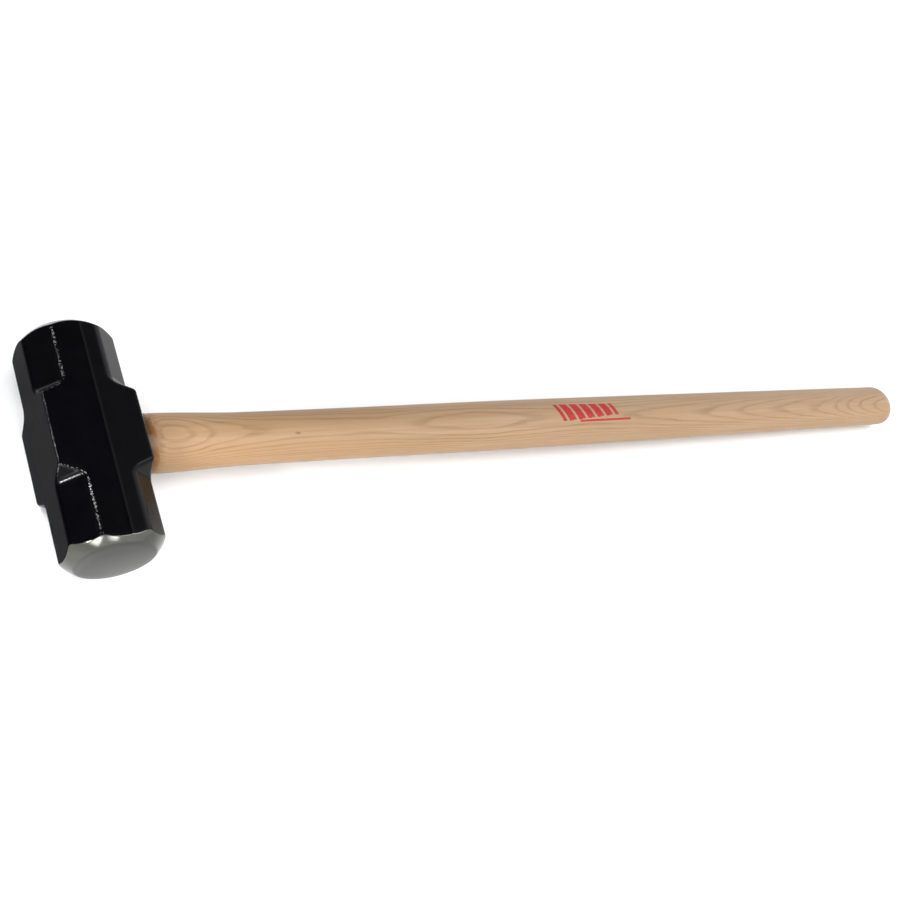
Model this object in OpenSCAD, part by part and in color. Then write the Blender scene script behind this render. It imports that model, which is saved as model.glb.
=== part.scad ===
// Double-faced sledge hammer, about 3.6 kg (8 lb) class, on a straight oval wooden handle.
//
// The hammer lies as it is put down on a bench: one cheek of the head and the lower edge of the
// handle's butt touch the surface z = 0. The handle points along +X, the head's striking axis is Y.
// The origin is on the bench, under the middle of the tool's own bounding box.
// Everything is first drawn in the tool's own frame (head centre at zero, handle along +X) and
// laid down by laid_down(), which tips the tool by the small angle that brings the butt to the bench.

/* [Tool] */
// Length from the top of the head to the end of the handle
overall_l = 914; // [860:1:960]

/* [Head] */
// Length between the two striking faces, over their crowns
head_l = 168; // [155:1:175]
// Width of the head along the handle
head_w = 62.2; // [58:0.2:64]
// Thickness of the head across the cheeks, at the parting ridge
head_t = 60.4; // [58:0.2:62]
// Leg of the 45 degree chamfers that make both ends eight-sided
chamfer_leg = 16; // [13:0.2:18]
// Length of the square block in the middle that holds the eye
block_l = 52; // [48:1:54]
// Length over the sloping shoulders at both ends of the square block
shoulders_l = 66.4; // [64:0.2:72]
// Height lost on each cheek from the parting ridge to its edges (forging draft)
draft_drop = 1.9; // [1:0.1:3.5]
// Distance of the parting ridge from the middle of the cheek, towards the handle
ridge_offset = 3; // [0:0.5:5]

/* [Striking faces] */
// Radius of the round striking face, inside its bevel
face_r = 26.3; // [22:0.1:28]
// Height of the crown on each striking face
crown_h = 1; // [0.6:0.1:1.4]
// Radius of the turned bevel's gentle rounding, from the striking face to the flats
bevel_r = 41.7; // [40:0.1:60]

/* [Eye] */
// Length of the eye, along the striking axis
eye_l = 38; // [36:1:40]
// Width of the eye, across the cheeks
eye_w = 28; // [26:1:30]
// Depth of the flared part of the eye, at the top of the head
flare_depth = 24; // [20:1:28]
// Widening of the eye all round, at its flared mouth
flare = 1.2; // [0.8:0.1:1.6]

/* [Handle] */
// Half of the handle's long width where its shoulder presses on the head
shoulder_half = 21.7; // [21:0.1:22.4]
// Half of the long width at the neck, behind the head
neck_half = 20; // [18.5:0.1:21]
// Half of the long width along the middle of the handle
belly_half = 21.7; // [20:0.1:22.5]
// Half of the long width at the grip and the butt
grip_half = 21.5; // [19:0.1:22.5]
// Thickness of the handle's oval as a share of its long width
oval_ratio = 0.78; // [0.7:0.01:0.85]
// Length of the rounded-over end of the butt
butt_round = 16; // [10:1:20]

/* [Wedges] */
// Depth of the saw kerf, filled by the wooden wedge
kerf_depth = 46; // [40:1:50]
// Thickness of the wooden wedge at the top of the head
wood_wedge_t = 5.2; // [4:0.2:6]
// Thickness of the wooden wedge at the bottom of the kerf
wood_wedge_tip = 1.4; // [1:0.1:2]
// Length of the steel wedge, driven in from the top of the head
steel_wedge_l = 26; // [22:1:30]
// Width of the steel wedge
steel_wedge_w = 22; // [18:1:24]
// Thickness of the steel wedge at the top of the head
steel_wedge_t = 4; // [3:0.2:5]
// Thickness of the steel wedge at its tip
steel_wedge_tip = 0.8; // [0.6:0.1:1.2]

/* [Resin] */
// Length of the resin collar along the handle, from the head
collar_l = 12; // [6:0.5:14]
// Thickness of the resin collar against the head
collar_t = 0.9; // [0.6:0.1:1.2]

/* [Hidden] */
$fn = 96;

// Head, in the tool's own frame
half_w = head_w / 2;
half_t = head_t / 2;
edge_t = half_t - draft_drop;
chamfer_x = half_w - chamfer_leg;
chamfer_z = half_t - chamfer_leg;
block_y = block_l / 2;
shoulder_y = shoulders_l / 2;
crown_r = (face_r * face_r + crown_h * crown_h) / (2 * crown_h);
rim_y = head_l / 2 - crown_h;
bevel_centre_y = rim_y - sqrt(bevel_r * bevel_r - face_r * face_r);
// Length of each end that the lathe reaches
turned_l = 22;
// Length of the shoulders' feet, hidden inside the eight-sided ends
shoulder_root = 5;
// How far a cutting shape passes the surface it cuts
cut_margin = 1;
half_space_size = 200;

// Eye and tenon: two round ends joined by a straight middle
eye_r = eye_w / 2;
eye_centre = eye_l / 2 - eye_r;
flare_start_x = -half_w + flare_depth;

// Handle, measured from the head's lower side, where the shoulder sits
shaft_l = overall_l - head_w;
shoulder_lip = 1.4;
shoulder_lip_l = 5;
tenon_root = 8;
collar_knee = 0.6;
profile_steps = 32;
ring_crowding = 1.6;
round_steps = 6;
oval_sides = 32;
// Half widths of the shaft at its stations: distance from the head, half of the long width
shaft_stations = [
    [0, shoulder_half],
    [14, shoulder_half],
    [82, neck_half],
    [380, belly_half],
    [590, belly_half],
    [710, grip_half],
    [shaft_l, grip_half]
];

// Resting pose: the tool tips about Y until the butt's lower edge and the ridge both touch z = 0
butt_z = grip_half * oval_ratio;
butt_x = overall_l - half_w - butt_round;
tip_angle = atan((half_t - butt_z) / (butt_x - ridge_offset));
lift = half_t * cos(tip_angle) + ridge_offset * sin(tip_angle);
x_min = -half_w * cos(tip_angle) - edge_t * sin(tip_angle);
x_max = (overall_l - half_w) * cos(tip_angle);
x_shift = -(x_min + x_max) / 2;

module laid_down() {
    translate([x_shift, 0, lift]) rotate([0, tip_angle, 0]) children();
}

// Height of the cheek at x: it falls from the parting ridge to both edges
function cheek_z(x) = x < ridge_offset
    ? half_t - draft_drop * (ridge_offset - x) / (half_w + ridge_offset)
    : half_t - draft_drop * (x - ridge_offset) / (half_w - ridge_offset);

// A prism of length l along Y, from an outline of [x, z] points
module along_y(l) {
    translate([0, l / 2, 0]) rotate([90, 0, 0]) linear_extrude(l) children();
}

// Section of the square block: flat sides, and two cheeks that peak at the ridge
module block_section() {
    polygon([
        [-half_w, -edge_t], [ridge_offset, -half_t], [half_w, -edge_t],
        [half_w, edge_t], [ridge_offset, half_t], [-half_w, edge_t]
    ]);
}

// Section of the ends: the block's section with its four corners chamfered
module end_section() {
    top_left = cheek_z(-chamfer_x);
    top_right = cheek_z(chamfer_x);
    polygon([
        [-half_w, -chamfer_z], [-chamfer_x, -top_left], [ridge_offset, -half_t],
        [chamfer_x, -top_right], [half_w, -chamfer_z],
        [half_w, chamfer_z], [chamfer_x, top_right], [ridge_offset, half_t],
        [-chamfer_x, top_left], [-half_w, chamfer_z]
    ]);
}

// Everything on the side of a plane that its normal n points to; p is a point on the plane
module beyond_plane(p, n) {
    translate(p) rotate([0, acos(n.z / norm(n)), atan2(n.y, n.x)])
        translate([-half_space_size / 2, -half_space_size / 2, 0]) cube(half_space_size);
}

// One sloping shoulder: the plane through the block's corner and the two ends of the chamfer.
// sx, sy and sz are 1 or -1 and choose the corner.
module shoulder_cut(sx, sy, sz) {
    corner = [sx * half_w, sy * block_y, sz * edge_t];
    side_end = [sx * half_w, sy * shoulder_y, sz * chamfer_z];
    cheek_end = [sx * chamfer_x, sy * shoulder_y, sz * cheek_z(sx * chamfer_x)];
    across = cross(side_end - corner, cheek_end - corner);
    beyond_plane(corner, across * sign(across.y * sy));
}

// The square block with its eight sloping shoulders, whose feet run on inside the eight-sided ends
module eye_block() {
    difference() {
        along_y(shoulders_l + 2 * shoulder_root) block_section();
        for (sx = [-1, 1], sy = [-1, 1], sz = [-1, 1]) shoulder_cut(sx, sy, sz);
    }
}

// The rounded form that the lathe leaves at the end on side sy: a bevel round a crowned face
module turned_end(sy) {
    intersection() {
        translate([0, sy * bevel_centre_y, 0]) sphere(bevel_r);
        translate([0, sy * (head_l / 2 - crown_r), 0]) sphere(crown_r);
    }
}

// What the lathe takes off the end on side sy
module turned_waste(sy) {
    difference() {
        translate([0, sy * head_l / 2, 0]) cube([3 * half_w, 2 * turned_l, 3 * half_t], center = true);
        turned_end(sy);
    }
}

// Flared oval: grows by the given amount all round between x0 and x1, widest at x1
module flared_oval(x0, x1, grow) {
    depth = abs(x1 - x0);
    turn = x1 < x0 ? -90 : 90;
    for (sy = [-1, 1])
        translate([x0, sy * eye_centre, 0]) rotate([0, turn, 0]) cylinder(h = depth, r1 = eye_r, r2 = eye_r + grow);
    along_y(2 * eye_centre)
        polygon([[x0, -eye_r], [x1, -eye_r - grow], [x1, eye_r + grow], [x0, eye_r]]);
}

// The eye's space: straight from x_end up to the flare, then flared to x = -half_w - past
module eye_space(x_end, past) {
    flared_oval(x_end, flare_start_x, 0);
    flared_oval(flare_start_x, -half_w - past, flare * (flare_depth + past) / flare_depth);
}

module head_shape() {
    difference() {
        union() {
            along_y(head_l + cut_margin) end_section();
            eye_block();
        }
        turned_waste(-1);
        turned_waste(1);
        eye_space(half_w + cut_margin, cut_margin);
    }
}

// Smooth step from 0 to 1
function ease(t) = (1 - cos(180 * t)) / 2;

// Half of the shaft's long width at distance d from the head, between stations i and i + 1
function shaft_half(d, i = 0) = d > shaft_stations[i + 1][0]
    ? shaft_half(d, i + 1)
    : let (a = shaft_stations[i], b = shaft_stations[i + 1])
        a[1] + (b[1] - a[1]) * ease((d - a[0]) / (b[0] - a[0]));

// Outline of the shaft as [half width, distance] points: lip, long profile, rounded butt.
// The rings of the long profile crowd towards the neck, where the handle changes fastest.
function shaft_outline() = let (straight_l = shaft_l - butt_round) concat(
    [for (i = [0 : round_steps]) let (t = 90 * i / round_steps)
        [shoulder_half - shoulder_lip * (1 - sin(t)), shoulder_lip_l * (1 - cos(t))]],
    [for (i = [1 : profile_steps])
        let (d = shoulder_lip_l + (straight_l - shoulder_lip_l) * pow(i / profile_steps, ring_crowding))
            [shaft_half(d), d]],
    [for (i = [1 : round_steps]) let (t = 90 * i / round_steps)
        [grip_half - butt_round * (1 - cos(t)), straight_l + butt_round * sin(t)]]
);

// A closed oval solid along X, from an outline of [half width, distance] points.
// Every ring is the same ellipse at another size, so all its faces are flat.
module oval_sweep(outline) {
    last = len(outline) - 1;
    translate([half_w, 0, 0]) polyhedron(
        points = [
            for (p = outline, k = [0 : oval_sides - 1]) let (t = 360 * k / oval_sides)
                [p[1], p[0] * cos(t), p[0] * oval_ratio * sin(t)]
        ],
        faces = concat(
            [[for (k = [0 : oval_sides - 1]) k]],
            [
                for (i = [0 : last - 1], k = [0 : oval_sides - 1]) let (next = (k + 1) % oval_sides)
                    [i * oval_sides + k, (i + 1) * oval_sides + k, (i + 1) * oval_sides + next, i * oval_sides + next]
            ],
            [[for (k = [oval_sides - 1 : -1 : 0]) last * oval_sides + k]]
        )
    );
}

module shaft() {
    oval_sweep(shaft_outline());
}

// The tenon fills the eye from the top of the head down into the shaft
module tenon() {
    eye_space(half_w + tenon_root, 0);
}

// Wedge that tapers from the top of the head: thick across Z, as long as the eye along Y
module kerf_space() {
    along_y(eye_l + 4 * flare)
        polygon([
            [-half_w - cut_margin, -wood_wedge_t / 2], [-half_w, -wood_wedge_t / 2],
            [-half_w + kerf_depth, -wood_wedge_tip / 2], [-half_w + kerf_depth, wood_wedge_tip / 2],
            [-half_w, wood_wedge_t / 2], [-half_w - cut_margin, wood_wedge_t / 2]
        ]);
}

// Steel wedge that crosses the wooden one: thick along Y, wide across Z
module steel_wedge_shape() {
    translate([0, 0, -steel_wedge_w / 2]) linear_extrude(steel_wedge_w)
        polygon([
            [-half_w, -steel_wedge_t / 2], [-half_w + steel_wedge_l, -steel_wedge_tip / 2],
            [-half_w + steel_wedge_l, steel_wedge_tip / 2], [-half_w, steel_wedge_t / 2]
        ]);
}

// Resin collar before the shaft is taken out of it: half as thick at its knee, then sunk in the shaft
module collar_shape() {
    oval_sweep([
        [shoulder_half + collar_t, 0],
        [shoulder_half + collar_t / 2, collar_l * collar_knee],
        [shoulder_half - collar_t / 4, collar_l]
    ]);
}

module head() {
    color([0.03, 0.03, 0.04]) laid_down() head_shape();
}

module handle() {
    color([0.80, 0.69, 0.54]) laid_down() union() {
        difference() {
            tenon();
            kerf_space();
            steel_wedge_shape();
        }
        shaft();
    }
}

module wooden_wedge() {
    color([0.72, 0.58, 0.42]) laid_down() difference() {
        intersection() {
            tenon();
            kerf_space();
        }
        steel_wedge_shape();
    }
}

module steel_wedge() {
    color([0.45, 0.45, 0.46]) laid_down() steel_wedge_shape();
}

module resin_collar() {
    color([0.72, 0.45, 0.20]) laid_down() difference() {
        collar_shape();
        shaft();
    }
}

head();
handle();
wooden_wedge();
steel_wedge();
resin_collar();
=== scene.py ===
"""Looks of the sledge hammer: head, handle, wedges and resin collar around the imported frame.

Every piece is worked out in the tool's own frame, in millimetres: the head's centre at zero, the
handle along +X, the striking axis along Y. LAY turns that frame into the row frame, where the hammer
lies down, and the meshes hold points that are already laid down. The materials turn them back.
"""
import math

import bmesh
import bpy
import numpy as np
from mathutils import Matrix, Vector


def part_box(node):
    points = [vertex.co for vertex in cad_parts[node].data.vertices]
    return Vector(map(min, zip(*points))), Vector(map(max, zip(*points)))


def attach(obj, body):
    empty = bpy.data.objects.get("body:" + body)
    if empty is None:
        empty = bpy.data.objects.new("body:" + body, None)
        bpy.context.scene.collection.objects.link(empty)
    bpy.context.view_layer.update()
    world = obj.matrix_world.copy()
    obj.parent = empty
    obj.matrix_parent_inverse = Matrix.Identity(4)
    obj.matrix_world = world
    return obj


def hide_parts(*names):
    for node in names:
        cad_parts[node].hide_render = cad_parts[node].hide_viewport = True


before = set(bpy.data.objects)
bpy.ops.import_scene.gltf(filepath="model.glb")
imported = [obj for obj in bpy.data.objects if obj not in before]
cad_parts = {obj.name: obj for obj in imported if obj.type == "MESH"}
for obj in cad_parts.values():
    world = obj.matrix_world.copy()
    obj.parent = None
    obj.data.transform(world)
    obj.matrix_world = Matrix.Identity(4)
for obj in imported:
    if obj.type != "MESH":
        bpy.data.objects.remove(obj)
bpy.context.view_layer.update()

MM = 0.001

# ---------------------------------------------------------------- sizes of the tool, in millimetres
HALF_W = 31.1
HALF_T = 30.2
HEAD_L = 168.0
CHAMFER_LEG = 16.0
BLOCK_Y = 26.0
SHOULDER_Y = 33.2
DRAFT_DROP = 1.9
RIDGE_X = 3.0
EDGE_T = HALF_T - DRAFT_DROP
CHAMFER_X = HALF_W - CHAMFER_LEG
CHAMFER_Z = HALF_T - CHAMFER_LEG

# Finish of the forging: rounded edges, filleted hollows and a thin bead of flash on the ridge
EDGE_R = 1.8
FILLET_R = 3.0
FLASH_H = 0.18
FLASH_HALF_W = 1.1

# How far paint wears off beside an edge, and how much less it wears low down and by the handle; the fully worn
# edges also carry bright dots that are a painted highlight
WEAR_AND_HIGHLIGHT_REACH = 2.0
LIGHT_WEAR_NO_HIGHLIGHT = 0.35
WORN_AND_HIGHLIT_ABOVE = CHAMFER_Z + 4.0

FACE_R = 26.3
CROWN_H = 1.0
BEVEL_R = 41.7
RIM_Y = HEAD_L / 2 - CROWN_H
BEVEL_Y = RIM_Y - math.sqrt(BEVEL_R**2 - FACE_R**2)
CROWN_R = (FACE_R**2 + CROWN_H**2) / (2 * CROWN_H)
CROWN_Y = HEAD_L / 2 - CROWN_R
TURNED_Y = 44.0
EDGE_BREAK = 0.5

EYE_R = 14.0
EYE_CENTRE = 5.0
FLARE = 1.2
FLARE_DEPTH = 24.0

SHAFT_L = 851.8
OVAL = 0.78
BUTT_ROUND = 16.0
GRIP_HALF = 21.5
SHOULDER_LIP = 1.4
SHOULDER_LIP_L = 5.0
SHAFT_STATIONS = [(0, 21.7), (14, 21.7), (82, 20.0), (380, 21.7), (590, 21.7), (710, GRIP_HALF),
                  (SHAFT_L, GRIP_HALF)]

KERF_DEPTH = 46.0
WOOD_WEDGE_T = 5.2
WOOD_WEDGE_TIP = 1.4
STEEL_WEDGE_L = 26.0
STEEL_WEDGE_W = 22.0
STEEL_WEDGE_T = 4.0
STEEL_WEDGE_TIP = 0.8

# Small gaps that keep the pieces in the eye from touching
TENON_SINK = 0.03
TENON_GAP = 0.02
WOOD_WEDGE_SINK = 0.06
WOOD_WEDGE_GAP = 0.02
STEEL_WEDGE_GAP = 0.03
# How far a cutting shape passes the top of the head
CUT_PAST = 2.0

BEAD_L = 10.9
BEAD_T = 0.70
BEAD_SEAT = 0.02
BEAD_SIDES = 160

# ---------------------------------------------------------------- where the tool lies in the row frame
head_low, head_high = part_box("head")
TILT = math.atan((HALF_T - GRIP_HALF * OVAL) / (SHAFT_L - BUTT_ROUND + HALF_W - RIDGE_X))
head_middle = (head_low + head_high) / 2
ORIGIN = Vector((head_middle.x, head_middle.y, head_middle.z + RIDGE_X * math.sin(TILT) * MM))
LAY = Matrix.Translation(ORIGIN) @ Matrix.Rotation(TILT, 4, "Y")


# ---------------------------------------------------------------- mesh helpers
def new_object(name, verts_mm, faces, materials, face_materials=None, smooth=True):
    """A mesh object from points in millimetres in the tool's frame, laid down in the row frame."""
    turn = np.array(LAY.to_3x3())
    laid = np.asarray(verts_mm, float) * MM @ turn.T + np.array(ORIGIN)
    mesh = bpy.data.meshes.new(name)
    mesh.from_pydata([tuple(v) for v in laid], [], [tuple(f) for f in faces])
    for material in materials:
        mesh.materials.append(material)
    if face_materials is not None:
        mesh.polygons.foreach_set("material_index", list(face_materials))
    mesh.polygons.foreach_set("use_smooth", [smooth] * len(mesh.polygons))
    mesh.validate()
    mesh.update()
    obj = bpy.data.objects.new(name, mesh)
    bpy.context.scene.collection.objects.link(obj)
    return obj


def ring_faces(rows, cols, first=0):
    """Quads that join rows of cols points each, closed round."""
    faces = []
    for i in range(rows - 1):
        for j in range(cols):
            k = (j + 1) % cols
            a = first + i * cols
            b = a + cols
            faces.append((a + j, a + k, b + k, b + j))
    return faces


def apply_modifiers(obj):
    """Bakes the modifiers of obj into its own mesh."""
    graph = bpy.context.evaluated_depsgraph_get()
    mesh = bpy.data.meshes.new_from_object(obj.evaluated_get(graph))
    old = obj.data
    obj.modifiers.clear()
    obj.data = mesh
    bpy.data.meshes.remove(old)


def combine(obj, cutter, operation="DIFFERENCE"):
    """Exact boolean of obj with cutter, which is then removed."""
    modifier = obj.modifiers.new("combine", "BOOLEAN")
    modifier.operation = operation
    modifier.solver = "EXACT"
    modifier.object = cutter
    apply_modifiers(obj)
    bpy.data.objects.remove(cutter)


def smooth_below(obj, angle):
    """Smooth shading, with edges sharper than the angle kept crisp."""
    obj.data.polygons.foreach_set("use_smooth", [True] * len(obj.data.polygons))
    obj.data.set_sharp_from_angle(angle=math.radians(angle))


def ease(t):
    """Smooth step from 0 to 1."""
    return (1 - math.cos(math.pi * t)) / 2


# ---------------------------------------------------------------- node helpers
class Nodes:
    """Short names for building a material's node tree."""

    def __init__(self, name):
        self.material = bpy.data.materials.new(name)
        self.material.use_nodes = True
        self.tree = self.material.node_tree
        self.shader = self.tree.nodes["Principled BSDF"]
        self.place = self.tool_place()

    def add(self, kind, **settings):
        node = self.tree.nodes.new(kind)
        for key, value in settings.items():
            setattr(node, key, value)
        return node

    def tool_place(self):
        """Where a point is in the tool's own frame, in metres: the laid-down object turned back."""
        back = LAY.inverted()
        mapping = self.add("ShaderNodeMapping", vector_type="POINT")
        mapping.inputs["Location"].default_value = back.to_translation()
        mapping.inputs["Rotation"].default_value = back.to_euler()
        self.link(self.add("ShaderNodeTexCoord").outputs["Object"], mapping.inputs["Vector"])
        return mapping.outputs["Vector"]

    def link(self, value, socket):
        """Feeds a socket from another socket, or sets it to a plain value."""
        if isinstance(value, bpy.types.NodeSocket):
            self.tree.links.new(value, socket)
        else:
            socket.default_value = value

    def math(self, operation, a, b=None, clamp=False):
        node = self.add("ShaderNodeMath", operation=operation, use_clamp=clamp)
        for value, socket in zip((a, b), node.inputs):
            if value is not None:
                self.link(value, socket)
        return node.outputs[0]

    def total(self, *values):
        """The sum of any number of sockets and plain values."""
        result = values[0]
        for value in values[1:]:
            result = self.math("ADD", result, value)
        return result

    def vector(self, operation, a, b):
        node = self.add("ShaderNodeVectorMath", operation=operation)
        self.link(a, node.inputs[0])
        self.link(b, node.inputs[1])
        return node.outputs["Vector"]

    def length(self, vector):
        node = self.add("ShaderNodeVectorMath", operation="LENGTH")
        self.link(vector, node.inputs[0])
        return node.outputs["Value"]

    def millimetres(self):
        """Where a point is in the tool's own frame, in millimetres."""
        return self.vector("MULTIPLY", self.place, (1 / MM, 1 / MM, 1 / MM))

    def split(self, vector):
        node = self.add("ShaderNodeSeparateXYZ")
        self.link(vector, node.inputs[0])
        return node.outputs

    def noise(self, vector, scale, detail=2.0, roughness=0.5):
        node = self.add("ShaderNodeTexNoise")
        self.link(vector, node.inputs["Vector"])
        node.inputs["Scale"].default_value = scale
        node.inputs["Detail"].default_value = detail
        node.inputs["Roughness"].default_value = roughness
        return node.outputs["Fac"]

    def remap(self, value, low, high, to_low=0.0, to_high=1.0, smooth=False):
        node = self.add("ShaderNodeMapRange", interpolation_type="SMOOTHSTEP" if smooth else "LINEAR")
        for v, socket in zip((value, low, high, to_low, to_high), node.inputs):
            self.link(v, socket)
        return node.outputs[0]

    def mix(self, factor, a, b, blend="MIX"):
        node = self.add("ShaderNodeMix", data_type="RGBA", blend_type=blend)
        self.link(factor, node.inputs["Factor"])
        for value, socket in ((a, node.inputs[6]), (b, node.inputs[7])):
            if isinstance(value, tuple):
                value = (*value, 1.0)
            self.link(value, socket)
        return node.outputs[2]

    def bump(self, height, strength, distance_mm, normal=None):
        node = self.add("ShaderNodeBump")
        self.link(height, node.inputs["Height"])
        node.inputs["Strength"].default_value = strength
        node.inputs["Distance"].default_value = distance_mm * MM
        if normal is not None:
            self.link(normal, node.inputs["Normal"])
        return node.outputs[0]

    def set(self, **sockets):
        """Feeds the shader's sockets by short names and hands back the finished material."""
        names = {
            "color": "Base Color", "metallic": "Metallic", "roughness": "Roughness", "normal": "Normal",
            "ior": "IOR", "specular": "Specular IOR Level", "anisotropic": "Anisotropic", "tangent": "Tangent",
            "coat": "Coat Weight", "coat_roughness": "Coat Roughness", "coat_normal": "Coat Normal",
        }
        for key, value in sockets.items():
            if isinstance(value, tuple):
                value = (*value, 1.0)
            self.link(value, self.shader.inputs[names[key]])
        return self.material


# ---------------------------------------------------------------- materials
# The enamel on top of the head reflects less than on the cheeks: its low IOR makes a dimmer copy of the enamel
# for that side, as painted shade
CHEEK_IOR = 1.2
TOP_IOR = 1.04


def enamel_material(name="black_enamel", ior=CHEEK_IOR, wood_under=False):
    """Glossy black enamel over a forged surface: orange peel, faint dust, and bright bare dots on worn edges,
    partly worn paint and partly a painted highlight on the edges that face the light.
    """
    n = Nodes(name)
    mm = n.millimetres()
    peel = n.noise(mm, 0.55, detail=2.0, roughness=0.55)
    forging = n.noise(mm, 0.06, detail=3.0, roughness=0.6)
    dust = n.noise(mm, 2.2, detail=4.0, roughness=0.7)
    normal = n.bump(forging, strength=0.30, distance_mm=0.35)
    normal = n.bump(peel, 0.22, 0.05, normal)
    if wood_under:
        stretched = n.vector("MULTIPLY", mm, (1.0, 3.0, 1.2))
        normal = n.bump(n.noise(stretched, 0.8, detail=3.0), 0.3, 0.05, normal)
    roughness = n.remap(dust, 0.35, 0.75, 0.14, 0.24)
    shade = n.mix(n.remap(forging, 0.4, 0.7), (0.0004, 0.0004, 0.0009), (0.0010, 0.0010, 0.0016))
    wear_and_highlight = n.add("ShaderNodeAttribute", attribute_name="edge_wear_and_highlight").outputs["Fac"]
    beads = n.math("MULTIPLY", n.noise(mm, 0.45, detail=1.0), n.remap(wear_and_highlight, 0.3, 0.8))
    normal = n.bump(beads, 0.9, 0.5, normal)
    # Bright bare-steel dots on the edges: partly worn paint, partly a painted highlight where the edges face
    # the light
    grit = n.remap(n.noise(mm, 0.55, detail=4.0, roughness=0.7), 0.54, 0.60)
    bare = n.math("MULTIPLY", n.remap(wear_and_highlight, 0.55, 0.95), grit, clamp=True)
    color = n.mix(bare, shade, (0.38, 0.38, 0.37))
    return n.set(color=color, roughness=roughness, normal=normal, ior=ior, specular=0.5)


def turned_steel_material():
    """Bare steel left by the lathe: fine rings round the striking axis, a few scuffs, and a striking face
    darkened as painted shade that stands in for a darker reflection in it.
    """
    n = Nodes("turned_steel")
    mm = n.millimetres()
    x, y, z = n.split(mm)
    radius = n.math("SQRT", n.math("ADD", n.math("MULTIPLY", x, x), n.math("MULTIPLY", z, z)))
    wobble = n.noise(mm, 0.08, detail=2.0)
    ring_place = n.add("ShaderNodeCombineXYZ")
    n.link(n.total(radius, y, n.math("MULTIPLY", wobble, 0.15)), ring_place.inputs[0])
    rings = n.noise(ring_place.outputs[0], 3.2, detail=5.0, roughness=0.75)
    blotch = n.noise(mm, 0.09, detail=4.0, roughness=0.6)
    scuffs = n.noise(n.vector("MULTIPLY", mm, (0.35, 1.0, 2.6)), 0.5, detail=6.0, roughness=0.8)
    shade = n.mix(n.remap(rings, 0.3, 0.7), (0.085, 0.086, 0.076), (0.120, 0.121, 0.108))
    shade = n.mix(n.remap(blotch, 0.35, 0.7, 0.0, 0.5), shade, (0.070, 0.069, 0.061))
    shade = n.mix(n.remap(scuffs, 0.62, 0.7, 0.0, 0.35), shade, (0.11, 0.11, 0.10))
    # Painted shade: the striking face's colour is darkened to stand in for a darker reflection in it
    face_painted_shade = n.remap(radius, FACE_R - 0.9, FACE_R + 0.4, 0.85, 0.0)
    shade = n.mix(face_painted_shade, shade, (0.024, 0.025, 0.021))
    roughness = n.remap(blotch, 0.3, 0.7, 0.10, 0.17)
    normal = n.bump(rings, 0.25, 0.02)
    tangent = n.add("ShaderNodeTangent", direction_type="RADIAL", axis="Y").outputs[0]
    return n.set(
        color=shade, metallic=1.0, roughness=roughness, normal=normal, anisotropic=0.3, tangent=tangent
    )


RING_GAP = 1.35
GRAIN_L = 900.0
GRAIN_RINGS = 16.0
# Rings counted down the middle of the upper side: (distance from the head's centre, rings)
RING_COUNT = [
    (31, 1.6), (42, 2.5), (53, 3.35), (63, 3.12), (72, 2.6), (81, 2.0), (97, 1.5), (115, 1.0),
    (150, 0.5), (220, 0.35), (271, 1.0), (311, 1.45), (350, 1.0), (410, 0.4), (470, 0.5), (530, 1.0),
    (604, 2.0), (666, 3.0), (720, 4.0), (768, 5.0), (792, 6.0), (814, 7.0), (884, 9.5),
]


def ring_curve(n, x):
    """Ring count along the handle that, added to the rings cut by the oval, gives RING_COUNT on top."""
    curve = n.add("ShaderNodeFloatCurve")
    n.link(n.math("DIVIDE", x, GRAIN_L, clamp=True), curve.inputs["Value"])
    line = curve.mapping.curves[0]
    places = []
    for place, rings in RING_COUNT:
        top = OVAL * shaft_half(min(max(place - HALF_W, 0.0), SHAFT_L))
        places.append((place / GRAIN_L, (rings - top / RING_GAP + GRAIN_RINGS) / GRAIN_RINGS))
    line.points[0].location = places[0]
    line.points[1].location = places[-1]
    for place in places[1:-1]:
        line.points.new(*place)
    curve.mapping.update()
    return n.math("MULTIPLY", curve.outputs[0], GRAIN_RINGS)


def growth_rings(n, mm):
    """Growth rings as the surface cuts them: flat across the oval, so the broad sides show cathedrals.

    Returns the strength of the dark line at each ring's edge and the fibre noise.
    """
    x, y, z = n.split(mm)
    lean = n.math("ADD", n.math("MULTIPLY", x, 0.00026), 0.04)
    depth = n.math("SUBTRACT", z, n.math("MULTIPLY", y, lean))
    bow = n.math("DIVIDE", n.math("MULTIPLY", y, y), 300.0)
    slow = n.noise(n.vector("MULTIPLY", mm, (0.25, 1.0, 1.0)), 0.05, detail=2.0)
    fine = n.noise(n.vector("MULTIPLY", mm, (0.10, 1.0, 1.0)), 0.30, detail=2.0)
    drift = n.math("MULTIPLY", n.math("SUBTRACT", slow, 0.5), 0.8)
    jitter = n.math("MULTIPLY", n.math("SUBTRACT", fine, 0.5), 0.34)
    cut = n.math("DIVIDE", n.math("ADD", depth, bow), RING_GAP)
    rings = n.total(cut, ring_curve(n, x), drift, jitter)
    phase = n.math("FRACT", rings)
    rise = n.remap(phase, 0.55, 0.97, 0.0, 1.0, smooth=True)
    fall = n.remap(phase, 0.0, 0.16, 1.0, 0.0, smooth=True)
    edge = n.math("MAXIMUM", n.math("POWER", rise, 2.0), fall)
    year = n.noise(n.vector("MULTIPLY", mm, (0.02, 0.5, 0.5)), 0.5, detail=1.0)
    fibre = n.noise(n.vector("MULTIPLY", mm, (0.035, 1.0, 1.0)), 1.5, detail=5.0, roughness=0.65)
    broken = n.remap(fibre, 0.3, 0.65, 0.55, 1.0)
    strength = n.math("MULTIPLY", n.remap(year, 0.35, 0.7, 0.5, 1.0), broken)
    return n.math("MULTIPLY", edge, strength), fibre


def between(n, value, low, high):
    """1 where the value lies between low and high."""
    return n.math("MULTIPLY", n.math("GREATER_THAN", value, low), n.math("LESS_THAN", value, high))


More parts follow.
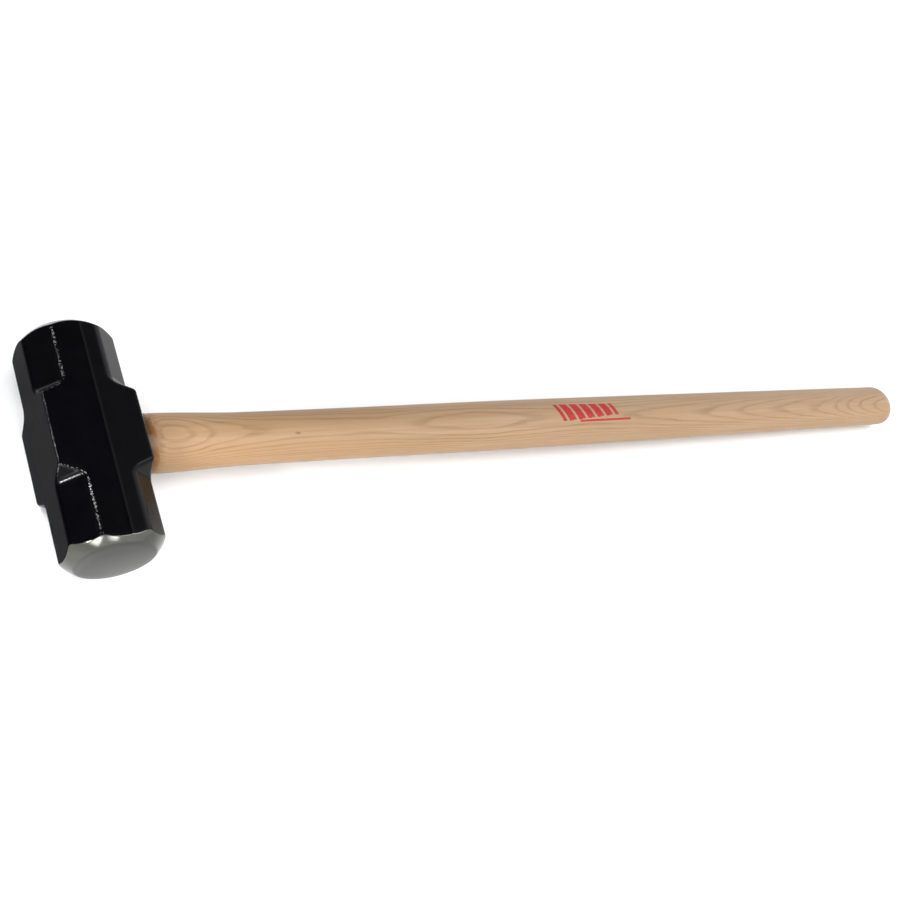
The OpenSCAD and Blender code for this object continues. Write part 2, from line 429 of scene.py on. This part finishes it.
def print_mask(n, mm):
    """A plain printed mark on the upper side: slanted blocks over a thin rule, with no lettering."""
    x, y, z = n.split(mm)
    start, block, count, slant = 398.5, 11.2, 6.0, 0.35
    top, height, step_top, step_bottom = 8.5, 16.5, 0.21, 0.7
    slanted = n.math("ADD", x, n.math("MULTIPLY", y, slant))
    along = n.math("DIVIDE", n.math("SUBTRACT", slanted, start), block)
    in_block = n.remap(n.math("PINGPONG", n.math("SUBTRACT", along, 0.5), 0.5), 0.10, 0.14)
    index = n.math("FLOOR", along)
    below_top = n.math("LESS_THAN", y, n.math("SUBTRACT", top, n.math("MULTIPLY", index, step_top)))
    foot = n.math("ADD", top - height, n.math("MULTIPLY", index, step_bottom))
    above_foot = n.math("GREATER_THAN", y, foot)
    blocks = n.math("MULTIPLY", in_block, between(n, along, 0.0, count))
    blocks = n.math("MULTIPLY", blocks, n.math("MULTIPLY", below_top, above_foot))
    rule = n.math("MULTIPLY", between(n, y, -9.4, -7.6), between(n, x, 420.0, 480.0))
    mark = n.math("ADD", blocks, rule, clamp=True)
    upper = n.math("GREATER_THAN", z, 0.0)
    fibres = n.noise(n.vector("MULTIPLY", mm, (0.3, 1.0, 1.0)), 1.6, detail=4.0, roughness=0.7)
    worn = n.remap(fibres, 0.30, 0.42)
    return n.math("MULTIPLY", n.math("MULTIPLY", mark, upper), worn)


def pin_knot(n, mm):
    """1 in the middle of the small dark knot on the upper side, fading to 0 round it."""
    from_knot = n.vector("SUBTRACT", mm, (148.0, -6.0, 15.2))
    reach = n.length(n.vector("MULTIPLY", from_knot, (0.45, 1.0, 0.2)))
    return n.remap(reach, 0.3, 1.5, 0.6, 0.0, smooth=True)


def wood_color(n, mm, rings, fibre, pore_mask):
    """Pale ash with streaks, patches, ring lines, pores and a pin knot."""
    streak = n.noise(n.vector("MULTIPLY", mm, (0.008, 0.35, 0.35)), 0.9, detail=3.0)
    patch = n.noise(n.vector("MULTIPLY", mm, (0.35, 1.0, 1.0)), 0.045, detail=2.0)
    color = n.mix(n.remap(streak, 0.3, 0.7), (0.404, 0.269, 0.157), (0.334, 0.211, 0.114))
    color = n.mix(n.remap(patch, 0.42, 0.62, 0.0, 0.5), color, (0.375, 0.227, 0.122))
    color = n.mix(n.math("MULTIPLY", rings, 0.62), color, (0.180, 0.098, 0.044))
    color = n.mix(n.remap(fibre, 0.40, 0.75, 0.0, 0.20), color, (0.225, 0.128, 0.060))
    color = n.mix(n.math("MULTIPLY", pore_mask, 0.35), color, (0.120, 0.065, 0.030))
    return n.mix(pin_knot(n, mm), color, (0.11, 0.055, 0.025))


def handle_material():
    """Varnished ash: the grain, a deeper tone and a ragged dark band next to the head, and the printed mark.
    """
    n = Nodes("varnished_wood")
    mm = n.millimetres()
    x = n.split(mm)[0]
    rings, fibre = growth_rings(n, mm)
    pores = n.noise(n.vector("MULTIPLY", mm, (0.08, 1.0, 1.0)), 3.6, detail=2.0, roughness=0.6)
    pore_mask = n.math("MULTIPLY", n.remap(pores, 0.58, 0.66), n.remap(rings, 0.2, 0.7))
    color = wood_color(n, mm, rings, fibre, pore_mask)
    tone = n.remap(x, 60.0, 420.0, 0.5, 0.0, smooth=True)
    color = n.mix(tone, color, (0.72, 0.66, 0.56), blend="MULTIPLY")
    ragged = n.math("MULTIPLY", n.noise(mm, 0.16, detail=3.0), 7.0)
    dark_band_by_head = n.remap(n.math("ADD", x, ragged), HALF_W + 13.5, HALF_W + 20.0, 0.6, 0.0, smooth=True)
    color = n.mix(dark_band_by_head, color, (0.17, 0.085, 0.034))
    color = n.mix(print_mask(n, mm), color, (0.36, 0.004, 0.006))
    normal = n.bump(fibre, 0.22, 0.05)
    normal = n.bump(n.math("SUBTRACT", 1.0, pore_mask), 0.25, 0.05, normal)
    return n.set(
        color=color, roughness=n.remap(fibre, 0.3, 0.8, 0.42, 0.54), normal=normal, specular=0.2,
        coat=0.06, coat_roughness=0.28, coat_normal=normal,
    )


def painted_wood_material():
    """The enamel over end grain, on the tenon and the wooden wedge at the top of the head."""
    # Uses the top's low IOR, the same painted shade as the enamel around it
    return enamel_material("enamel_on_wedge_wood", TOP_IOR, wood_under=True)


def resin_material():
    """Amber resin: dark against the head, thin and orange at its edge."""
    n = Nodes("amber_resin")
    mm = n.millimetres()
    x = n.split(mm)[0]
    mottle = n.noise(mm, 0.35, detail=4.0, roughness=0.6)
    reach = n.math("ADD", x, n.math("MULTIPLY", mottle, 2.5))
    depth = n.remap(reach, HALF_W + 7.5, HALF_W + 13.5)
    color = n.mix(depth, (0.080, 0.034, 0.010), (0.250, 0.115, 0.036))
    normal = n.bump(n.noise(mm, 0.5, detail=3.0), 0.35, 0.25)
    roughness = n.remap(mottle, 0.3, 0.7, 0.16, 0.30)
    return n.set(color=color, roughness=roughness, normal=normal, ior=1.3)


# ---------------------------------------------------------------- head
def ramp(value):
    """The value where it is above zero, else zero."""
    return np.maximum(value, 0.0)


def round_and(distances, radius):
    """Intersection of half-spaces with its convex edges rounded."""
    worst = np.maximum.reduce(distances)
    squares = sum(ramp(d + radius) ** 2 for d in distances)
    return np.minimum(worst + radius, 0.0) + np.sqrt(squares) - radius


def round_or(a, b, radius):
    """Union of two half-spaces with its concave edge rounded."""
    near = np.sqrt(ramp(radius - a) ** 2 + ramp(radius - b) ** 2)
    return np.maximum(np.minimum(a, b), radius) - near


def cheek_height(x):
    """Height of a cheek: its draft falls from the parting ridge, where a thin bead of flash is left."""
    left = DRAFT_DROP * (RIDGE_X - x) / (HALF_W + RIDGE_X)
    right = DRAFT_DROP * (x - RIDGE_X) / (HALF_W - RIDGE_X)
    flash = FLASH_H * np.exp(-(((x - RIDGE_X) / FLASH_HALF_W) ** 2))
    return HALF_T - FLASH_H - np.maximum(left, right) + flash


def plane_distance(point, normal, x, y, z):
    """Distance of x, y, z from the plane through the point, along its normal."""
    nx, ny, nz = np.asarray(normal, float) / np.linalg.norm(normal)
    return (x - point[0]) * nx + (y - point[1]) * ny + (z - point[2]) * nz


def corner_distance(side, x, y, z):
    """The chamfer of one corner, where the block's sloping shoulder doesn't fill it."""
    top = float(cheek_height(np.array(side * CHAMFER_X)))
    side_end = np.array([side * HALF_W, SHOULDER_Y, CHAMFER_Z])
    cheek_end = np.array([side * CHAMFER_X, SHOULDER_Y, top])
    corner = np.array([side * HALF_W, BLOCK_Y, EDGE_T])
    chamfer_normal = np.array([side * (top - CHAMFER_Z), 0.0, CHAMFER_LEG])
    slope_normal = np.cross(side_end - corner, cheek_end - corner)
    slope_normal *= np.sign(slope_normal[1])
    chamfer = plane_distance(side_end, chamfer_normal, x, y, z)
    slope = plane_distance(corner, slope_normal, x, y, z)
    return round_or(chamfer, slope, FILLET_R)


def surface_distances(x, y, z):
    """Signed distances to the sides, the cheeks and the two chamfers, each mirrored in y and z."""
    ay, az = np.abs(y), np.abs(z)
    return [
        np.abs(x) - HALF_W,
        az - cheek_height(x),
        corner_distance(-1, x, ay, az),
        corner_distance(1, x, ay, az),
    ]


def head_distance(x, y, z):
    """Signed distance, roughly, to the forged head without its turned ends."""
    return round_and(surface_distances(x, y, z), EDGE_R)


def head_radius(angle, y):
    """Distance of the forged surface from the striking axis, by bisection."""
    low = np.full(np.broadcast(angle, y).shape, 18.0)
    high = np.full_like(low, 46.0)
    for _ in range(34):
        middle = (low + high) / 2
        outside = head_distance(middle * np.cos(angle), y + 0 * middle, middle * np.sin(angle)) > 0
        high = np.where(outside, middle, high)
        low = np.where(outside, low, middle)
    return (low + high) / 2


def head_angles():
    """Angles round the striking axis, crowded where edges and the parting ridge run."""
    count = 380
    coarse_step, fine_step = 1.7, 0.42
    cheek_z = EDGE_T + DRAFT_DROP * 0.6
    edges = [
        (HALF_W, CHAMFER_Z, 3.4), (CHAMFER_X, cheek_z, 3.4), (HALF_W, EDGE_T, 3.0), (RIDGE_X, HALF_T, 3.4),
        (-HALF_W, CHAMFER_Z, 3.4), (-CHAMFER_X, cheek_z, 3.4), (-HALF_W, EDGE_T, 3.0),
    ]
    fine = np.linspace(0, 2 * math.pi, 7201)
    density = np.full_like(fine, 1 / coarse_step)
    for x, z, reach in edges:
        for mirror in (1, -1):
            centre = math.atan2(mirror * z, x)
            gap = np.degrees(np.abs(np.angle(np.exp(1j * (fine - centre)))))
            density = np.maximum(density, (1 / fine_step) * (gap < reach))
    reached = np.concatenate([[0], np.cumsum((density[1:] + density[:-1]) / 2)])
    reached /= reached[-1]
    return np.interp(np.arange(count) / count, reached, fine)


def bevel_y(radius):
    """Height of the turned bevel along the striking axis."""
    return BEVEL_Y + np.sqrt(BEVEL_R**2 - radius**2)


def crown_y(radius):
    """Height of the crowned striking face along the striking axis."""
    return CROWN_Y + np.sqrt(CROWN_R**2 - radius**2)


def bezier(a, b, c, t):
    """Points between a and c that round the corner b."""
    return a * (1 - t) ** 2 + 2 * b * t * (1 - t) + c * t**2


def turned_end_rows(angles):
    """Rows of (radius, y) from the end of the forging to the middle of the striking face.

    Also returns how many of the rows are painted: the flats, and the first step of the broken edge.
    """
    side = head_radius(angles, np.full_like(angles, TURNED_Y))
    edge_y = bevel_y(side)
    flat_l = edge_y - EDGE_BREAK - TURNED_Y
    rows = [(side, TURNED_Y + flat_l * t) for t in (0.25, 0.5, 0.75, 0.92, 1.0)]
    painted = len(rows) + 1
    inner = side - EDGE_BREAK * 0.85
    for t in (0.25, 0.5, 0.75, 1.0):
        rows.append((bezier(side, side, inner, t), bezier(edge_y - EDGE_BREAK, edge_y, bevel_y(inner), t)))
    rim = FACE_R + 0.5
    for t in (0.12, 0.3, 0.5, 0.7, 0.88, 1.0):
        radius = inner + (rim - inner) * t
        rows.append((radius, bevel_y(radius)))
    lip = FACE_R - 0.6
    for t in (0.33, 0.66, 1.0):
        radius = bezier(rim, FACE_R, lip, t) + 0 * side
        rows.append((radius, bezier(bevel_y(rim), RIM_Y, crown_y(lip), t) + 0 * side))
    for radius in (21.0, 18.0, 15.0, 12.0, 9.0, 6.0, 3.5, 1.5):
        rows.append((radius + 0 * side, crown_y(radius) + 0 * side))
    return rows, painted


def edge_wear_and_highlight(x, y, z):
    """1 on convex edges and 0 on the flats: how close the second nearest surface is.

    The edges low on the sides and by the handle are less worn and get no dots of painted highlight.
    """
    distances = np.sort(np.stack(surface_distances(x, y, z)), axis=0)
    wear_and_highlight = np.clip(1 + distances[-2] / WEAR_AND_HIGHLIGHT_REACH, 0, 1)
    # Full weight, and with it the painted highlight dots, only on the edges near the cheeks away from the
    # handle
    return wear_and_highlight * np.where((x < 0) & (np.abs(z) > WORN_AND_HIGHLIT_ABOVE), 1.0, LIGHT_WEAR_NO_HIGHLIGHT)


def head_mesh():
    """Points, faces and each face's material (0 enamel, 1 bare steel) of the head without its eye."""
    angles = head_angles()
    count = len(angles)
    middle_y = np.concatenate([np.linspace(0, 21, 8), np.arange(21.8, 40.5, 0.5), [42.0, TURNED_Y]])
    end_rows, painted = turned_end_rows(angles)
    half = [(head_radius(angles, np.full_like(angles, y)), np.full_like(angles, y)) for y in middle_y]
    half += end_rows
    rows = [(radius, -y) for radius, y in reversed(half[1:])] + half
    rings = [np.stack([radius * np.cos(angles), y, radius * np.sin(angles)], axis=1) for radius, y in rows]
    poles = count * len(rows)
    verts = np.concatenate(rings + [[[0, -HEAD_L / 2, 0], [0, HEAD_L / 2, 0]]])
    faces = ring_faces(len(rows), count)
    last = len(rows) - 1
    bare_rows = len(end_rows) - painted
    slots = [1 if min(i, last - 1 - i) < bare_rows else 0 for i in range(last) for _ in range(count)]
    for j in range(count):
        k = (j + 1) % count
        faces.append((poles, k, j))
        faces.append((poles + 1, last * count + j, last * count + k))
        slots += [1, 1]
    return verts, faces, slots


def build_head(enamel, steel, top_enamel):
    """The forged head with its eye cut through, and the duller enamel on its top, dimmed as painted shade."""
    verts, faces, slots = head_mesh()
    head = new_object("forged_head", verts, faces, [enamel, steel], slots)
    # This mask also places the painted highlight dots of the enamel
    wear_and_highlight = head.data.attributes.new("edge_wear_and_highlight", "FLOAT", "POINT")
    wear_and_highlight.data.foreach_set("value", edge_wear_and_highlight(*verts.T).astype(np.float32))
    combine(head, flared_oval("eye_cutter", eye_sections(1.0)))
    smooth_below(head, 32)
    head.data.materials.append(top_enamel)
    for face in head.data.polygons:
        if face.material_index == 0 and face.normal.x < -0.8:
            face.material_index = 2
    return head


# ---------------------------------------------------------------- eye, tenon and wedges
def oval_ring(x, grow, points=48):
    """The eye's outline at x, grown all round: two half circles joined by straight sides."""
    ring = []
    for side, first in ((1, -90), (-1, 90)):
        for i in range(points // 2 + 1):
            turn = math.radians(first + 180 * i / (points // 2))
            radius = EYE_R + grow
            ring.append((x, side * EYE_CENTRE + radius * math.cos(turn), radius * math.sin(turn)))
    return ring


def eye_sections(past):
    """(x, growth) of the eye: straight from the handle's side, then flared to the top of the head."""
    return [(HALF_W + past, 0.0), (-HALF_W + FLARE_DEPTH, 0.0),
            (-HALF_W - past, FLARE * (FLARE_DEPTH + past) / FLARE_DEPTH)]


def flared_oval(name, sections, materials=()):
    """A closed solid through ovals of the given places and growths, from +X to -X."""
    rings = [oval_ring(x, grow) for x, grow in sections]
    count = len(rings[0])
    verts = [v for ring in rings for v in ring]
    faces = [tuple(reversed(f)) for f in ring_faces(len(rings), count)]
    faces.append(tuple(range(count)))
    faces.append(tuple(reversed(range((len(rings) - 1) * count, len(rings) * count))))
    obj = new_object(name, verts, faces, list(materials), smooth=False)
    fix_normals(obj)
    return obj


def fix_normals(obj):
    """Points all the faces of a closed mesh outwards."""
    mesh = bmesh.new()
    mesh.from_mesh(obj.data)
    bmesh.ops.recalc_face_normals(mesh, faces=mesh.faces)
    mesh.to_mesh(obj.data)
    mesh.free()


def tapered_slab(name, ends, reach, turned=False):
    """A wedge with two ends of (x, half thickness); it is thick along z and reaches along y, or turned."""
    (x0, half0), (x1, half1) = ends
    outline = [(x0, -half0), (x1, -half1), (x1, half1), (x0, half0)]
    verts = []
    for side in (-reach, reach):
        for x, t in outline:
            verts.append((x, t, side) if turned else (x, side, t))
    faces = [(0, 1, 2, 3), (7, 6, 5, 4)]
    faces += [(i, (i + 1) % 4, (i + 1) % 4 + 4, i + 4) for i in range(4)]
    obj = new_object(name, verts, faces, [], smooth=False)
    fix_normals(obj)
    return obj


def tenon_shape(name, sink, gap, materials=()):
    """The tenon as it fills the eye, sunk below the head's top, with a gap round its flared end."""
    root = HALF_W + 8.0
    sections = [(root, 0.0), (-HALF_W + FLARE_DEPTH, -gap), (-HALF_W + sink, FLARE - gap)]
    return flared_oval(name, sections, materials)


def kerf_slab(name, grow, sink):
    """The wooden wedge's shape before the eye bounds it, grown all round."""
    ends = (
        (-HALF_W + sink, WOOD_WEDGE_T / 2 + grow),
        (-HALF_W + KERF_DEPTH, WOOD_WEDGE_TIP / 2 + grow),
    )
    return tapered_slab(name, ends, reach=24.0)


def steel_slab(name, grow, sink):
    """The steel wedge's shape, grown all round; it crosses the wooden one."""
    ends = (
        (-HALF_W + sink, STEEL_WEDGE_T / 2 + grow),
        (-HALF_W + STEEL_WEDGE_L, STEEL_WEDGE_TIP / 2 + grow),
    )
    return tapered_slab(name, ends, reach=STEEL_WEDGE_W / 2 + grow, turned=True)


def build_tenon(wood_paint):
    """The painted tenon, cut out for both wedges."""
    tenon = tenon_shape("tenon", TENON_SINK, TENON_GAP, [wood_paint])
    combine(tenon, kerf_slab("kerf_cut", 0.0, -CUT_PAST))
    combine(tenon, steel_slab("wedge_cut", 0.0, -CUT_PAST))
    smooth_below(tenon, 40)
    return tenon


def build_wooden_wedge(wood_paint):
    """The wooden wedge, bounded by the eye and cut through by the steel one."""
    wedge = kerf_slab("wooden_wedge_visible", -WOOD_WEDGE_GAP, WOOD_WEDGE_SINK)
    wedge.data.materials.append(wood_paint)
    combine(wedge, tenon_shape("wedge_limit", -1.0, 0.15), "INTERSECT")
    combine(wedge, steel_slab("wedge_cut", STEEL_WEDGE_GAP, -CUT_PAST))
    smooth_below(wedge, 40)
    return wedge


def build_steel_wedge(enamel):
    """The steel wedge, flush with the head's top and painted like it."""
    wedge = steel_slab("steel_wedge_visible", -STEEL_WEDGE_GAP, STEEL_WEDGE_GAP)
    wedge.data.materials.append(enamel)
    smooth_below(wedge, 40)
    return wedge


# ---------------------------------------------------------------- handle
def shaft_half(d):
    """Half of the shaft's long width at distance d from the head."""
    for (d0, h0), (d1, h1) in zip(SHAFT_STATIONS, SHAFT_STATIONS[1:]):
        if d <= d1:
            return h0 + (h1 - h0) * ease((d - d0) / (d1 - d0))
    return SHAFT_STATIONS[-1][1]


def shaft_half_lip(d):
    """The shaft's half width, with the rounding of the lip."""
    if d >= SHOULDER_LIP_L:
        return shaft_half(d)
    turn = math.acos(1 - d / SHOULDER_LIP_L)
    return SHAFT_STATIONS[0][1] - SHOULDER_LIP * (1 - math.sin(turn))


def shaft_outline():
    """(distance, half width) from the lip at the head to the middle of the butt's end."""
    straight_l = SHAFT_L - BUTT_ROUND
    grip = SHAFT_STATIONS[-1][1]
    lip_steps, steps, butt_steps, crowding = 8, 130, 12, 1.25
    outline = []
    for i in range(lip_steps + 1):
        turn = math.pi / 2 * i / lip_steps
        half = SHAFT_STATIONS[0][1] - SHOULDER_LIP * (1 - math.sin(turn))
        outline.append((SHOULDER_LIP_L * (1 - math.cos(turn)), half))
    for i in range(1, steps + 1):
        d = SHOULDER_LIP_L + (straight_l - SHOULDER_LIP_L) * (i / steps) ** crowding
        outline.append((d, shaft_half(d)))
    for i in range(1, butt_steps + 1):
        turn = math.pi / 2 * i / butt_steps
        half = grip - BUTT_ROUND * (1 - math.cos(turn))
        outline.append((straight_l + BUTT_ROUND * math.sin(turn), half))
    inner_end = [(SHAFT_L, 3.0), (SHAFT_L, 1.2)]
    return outline + inner_end


def oval_row(d, half, turns):
    """One ring of the handle's oval: distance from the head and half width may change round it."""
    return np.stack([HALF_W + d + 0 * turns, half * np.cos(turns), half * OVAL * np.sin(turns)], axis=1)


def build_handle(wood, wood_paint):
    """The shaft, joined with its tenon."""
    sides = 96
    turns = np.arange(sides) * 2 * math.pi / sides
    rows = [oval_row(d, half, turns) for d, half in shaft_outline()]
    verts = np.concatenate(rows)
    faces = [tuple(reversed(f)) for f in ring_faces(len(rows), sides)]
    faces.append(tuple(range(sides)))
    faces.append(tuple(reversed(range(len(verts) - sides, len(verts)))))
    shaft = new_object("ash_handle", verts, faces, [wood])
    fix_normals(shaft)
    smooth_below(shaft, 40)
    tenon = build_tenon(wood_paint)
    with bpy.context.temp_override(active_object=shaft, selected_editable_objects=[shaft, tenon]):
        bpy.ops.object.join()
    return shaft


def build_collar(resin):
    """Bead of resin round the lip: thick against the head, with an uneven edge."""
    turns = np.arange(BEAD_SIDES) * 2 * math.pi / BEAD_SIDES
    uneven = 0.55 * np.sin(3 * turns + 0.7) + 0.4 * np.sin(7 * turns + 2.1) + 0.25 * np.sin(13 * turns + 0.3)
    length = BEAD_L + 0.9 * uneven
    bulge = BEAD_T + 0.12 * np.sin(5 * turns + 1.0)
    rows = [oval_row(BEAD_SEAT, SHAFT_STATIONS[0][1] - 2.5, turns)]
    steps = 12
    for i in range(steps + 1):
        t = i / steps
        d = length * t
        skin = bulge * (1 - t**1.6) ** 0.8 - 0.05 * t
        half = np.array([shaft_half_lip(v) for v in d]) + skin
        rows.append(oval_row(d + BEAD_SEAT, half, turns))
    inner_half = np.array([shaft_half_lip(v) for v in length]) - 1.0
    rows.append(oval_row(length - 0.6, inner_half, turns))
    faces = ring_faces(len(rows), BEAD_SIDES)
    last = (len(rows) - 1) * BEAD_SIDES
    for j in range(BEAD_SIDES):
        k = (j + 1) % BEAD_SIDES
        faces.append((last + j, last + k, k, j))
    collar = new_object("resin_bead", np.concatenate(rows), faces, [resin])
    fix_normals(collar)
    smooth_below(collar, 50)
    return collar


# ---------------------------------------------------------------- studio
def look_at(obj, target):
    """Turns a light so that it faces the target."""
    direction = Vector(target) - obj.location
    obj.rotation_euler = direction.to_track_quat("-Z", "Y").to_euler()


def softbox(name, direction, distance, size, power, spread=180.0, aim_mm=(0.0, 0.0, 0.0)):
    """A rectangular softbox that faces a point given from the head's centre; a grid narrows its spread."""
    light = bpy.data.lights.new(name, "AREA")
    light.shape = "RECTANGLE"
    light.size, light.size_y = size
    light.energy = power
    light.spread = math.radians(spread)
    obj = bpy.data.objects.new(name, light)
    bpy.context.scene.collection.objects.link(obj)
    aim = ORIGIN + Vector(aim_mm) * MM
    obj.location = aim + Vector(direction).normalized() * distance
    look_at(obj, aim)


def build_camera():
    """The view of the tool from its left front, well above, rolled so that the handle runs nearly level."""
    azimuth, elevation, roll = (math.radians(v) for v in (-57.523, 45.676, 44.551))
    place = Vector((-0.26049, -0.36825, 0.66385))
    flat = math.cos(elevation)
    back = Vector((math.sin(azimuth) * flat, -math.cos(azimuth) * flat, math.sin(elevation)))
    level = Vector((math.cos(azimuth), math.sin(azimuth), 0.0))
    upright = back.cross(level)
    right = level * math.cos(roll) + upright * math.sin(roll)
    up = upright * math.cos(roll) - level * math.sin(roll)
    data = bpy.data.cameras.new("camera")
    data.sensor_width = 36.0
    data.lens = 46.847
    data.clip_start = 0.01
    data.clip_end = 100.0
    camera = bpy.data.objects.new("camera", data)
    bpy.context.scene.collection.objects.link(camera)
    camera.matrix_world = LAY @ Matrix.Translation(place) @ Matrix((right, up, back)).transposed().to_4x4()
    bpy.context.scene.camera = camera


def build_floor():
    """A plain pale floor under the tool."""
    mesh = bpy.data.meshes.new("floor")
    reach = 9.0
    corners = [(-reach, -reach, 0), (reach, -reach, 0), (reach, reach, 0), (-reach, reach, 0)]
    mesh.from_pydata(corners, [], [(0, 1, 2, 3)])
    floor = bpy.data.objects.new("floor", mesh)
    bpy.context.scene.collection.objects.link(floor)
    n = Nodes("pale_floor")
    mesh.materials.append(n.set(color=(0.94, 0.94, 0.94), roughness=0.9, specular=0.1))


def build_world():
    """An even white studio in front and on the right, with a dark wall behind the head and on its left."""
    world = bpy.data.worlds.new("studio")
    world.use_nodes = True
    tree = world.node_tree
    background = tree.nodes["Background"]
    place = tree.nodes.new("ShaderNodeTexCoord")
    toward = tree.nodes.new("ShaderNodeVectorMath")
    toward.operation = "DOT_PRODUCT"
    tree.links.new(place.outputs["Generated"], toward.inputs[0])
    dark_way = Vector((-0.45, 0.55, 0.68))
    toward.inputs[1].default_value = dark_way.normalized()
    fade = tree.nodes.new("ShaderNodeMapRange")
    fade.interpolation_type = "SMOOTHSTEP"
    tree.links.new(toward.outputs["Value"], fade.inputs[0])
    fade_start, fade_end, bright, dark = 0.15, 0.70, 1.70, 0.22
    for socket, value in zip(fade.inputs[1:5], (fade_start, fade_end, bright, dark)):
        socket.default_value = value
    tree.links.new(fade.outputs[0], background.inputs["Strength"])
    background.inputs["Color"].default_value = (0.97, 0.98, 1.0, 1.0)
    bpy.context.scene.world = world


def build_lights():
    """A large key over the handle, two small lights that catch the head's edges, two for its bevel."""
    softbox("key", (0.35, -0.10, 0.93), 3.2, (2.0, 2.0), 68.0, aim_mm=(480.0, 0.0, 0.0))
    softbox("rim", (-0.50, 0.46, 0.73), 1.5, (0.14, 0.14), 0.10, spread=14.0, aim_mm=(-90.0, 0.0, 30.0))
    softbox("left", (-0.85, -0.43, 0.38), 1.5, (0.15, 0.15), 0.14, spread=14.0, aim_mm=(-20.0, 0.0, 0.0))
    near_end = (-90.0, -90.0, 0.0)
    softbox("front_left", (-0.45, -0.85, 0.28), 1.3, (0.38, 0.48), 0.26, spread=32.0, aim_mm=near_end)
    softbox("front_right", (0.02, -0.86, 0.51), 1.3, (0.36, 0.48), 0.22, spread=32.0, aim_mm=near_end)


# ---------------------------------------------------------------- assembly
build_camera()
enamel = enamel_material()
top_enamel = enamel_material("black_enamel_top_painted_shade", TOP_IOR)
wood_paint = painted_wood_material()

head = build_head(enamel, turned_steel_material(), top_enamel)
handle = build_handle(handle_material(), wood_paint)
wooden_wedge = build_wooden_wedge(wood_paint)
steel_wedge = build_steel_wedge(top_enamel)
collar = build_collar(resin_material())

for piece, node, slot in (
    (head, "head", "head_enamel"),
    (handle, "handle", "handle_wood"),
    (wooden_wedge, "wooden_wedge", "wedge_wood"),
    (steel_wedge, "steel_wedge", "wedge_steel"),
    (collar, "resin_collar", "resin"),
):
    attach(piece, "root")
    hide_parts(node)

build_floor()
build_world()
build_lights()
bpy.context.scene.view_settings.view_transform = "Standard"
